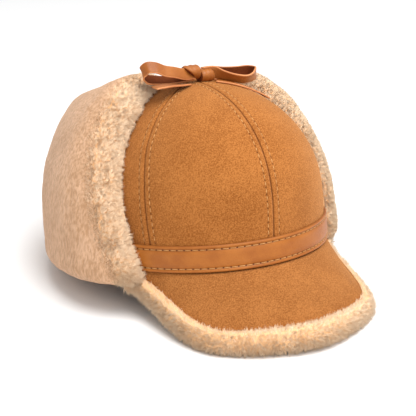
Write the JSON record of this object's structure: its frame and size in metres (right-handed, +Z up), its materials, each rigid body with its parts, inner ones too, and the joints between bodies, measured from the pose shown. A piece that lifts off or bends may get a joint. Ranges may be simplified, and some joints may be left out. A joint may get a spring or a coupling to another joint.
{
  "type": "earflap cap",
  "caption": "Suede cap with a rounded crown, leather band and curved peak, its wool earflaps folded up and tied over the top in a small leather bow.",
  "frame": {"origin": "middle of the cap's box on the floor that it rests on", "axes": "+Z up; -Y ahead of the peak, so +Y runs to the back; +X to the wearer's left"},
  "size_m": [0.22, 0.2898, 0.1616],
  "materials": {
    "crown_suede": "napped suede outside, short cream wool inside",
    "band_leather": "smooth satin leather with stitched edges",
    "peak_suede": "napped suede",
    "trim_wool": "curly sheepskin pile",
    "flap_wool": "sheared sheepskin pile, curlier along its edges",
    "lace_leather": "smooth satin leather"
  },
  "bodies": {
    "root": {"crown_panel_front_left": "crown_suede", "crown_panel_side_left": "crown_suede", "crown_panel_back_left": "crown_suede", "crown_panel_back_right": "crown_suede", "crown_panel_side_right": "crown_suede", "crown_panel_front_right": "crown_suede", "band": "band_leather", "peak": "peak_suede", "peak_wool": "trim_wool", "earflap": "flap_wool", "bow_knot": "lace_leather", "bow_loop_right": "lace_leather", "bow_loop_left": "lace_leather", "bow_tail_right": "lace_leather", "bow_tail_left": "lace_leather", "tie_right": "lace_leather", "tie_left": "lace_leather"}
  },
  "joints": []
}
